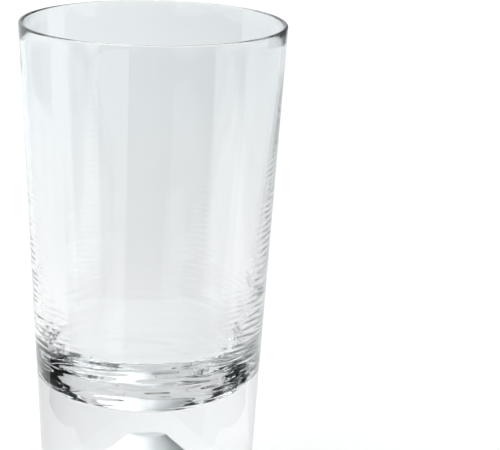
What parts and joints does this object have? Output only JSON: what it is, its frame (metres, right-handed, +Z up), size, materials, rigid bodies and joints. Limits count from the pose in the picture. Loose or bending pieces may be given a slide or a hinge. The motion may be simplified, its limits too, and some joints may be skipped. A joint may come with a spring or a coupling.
{
  "type": "tumbler",
  "caption": "Tapered clear glass tumbler: a thin-walled bowl with a rounded rim on a heavy solid base, with a frosted cone-shaped hollow rising into the base from below.",
  "frame": {"origin": "centre of the ring that the glass stands on, at table height", "axes": "+Z up the axis of the glass towards the rim; the glass is round, so +X and +Y are any two directions square to it"},
  "size_m": [0.075, 0.075, 0.14],
  "materials": {
    "clear_glass": "fire-polished, clear with a faint cool tint",
    "frosted_glass": "satin, etched"
  },
  "bodies": {
    "root": {"bowl": "clear_glass", "base": "clear_glass", "cone_frosting": "frosted_glass"}
  },
  "joints": []
}
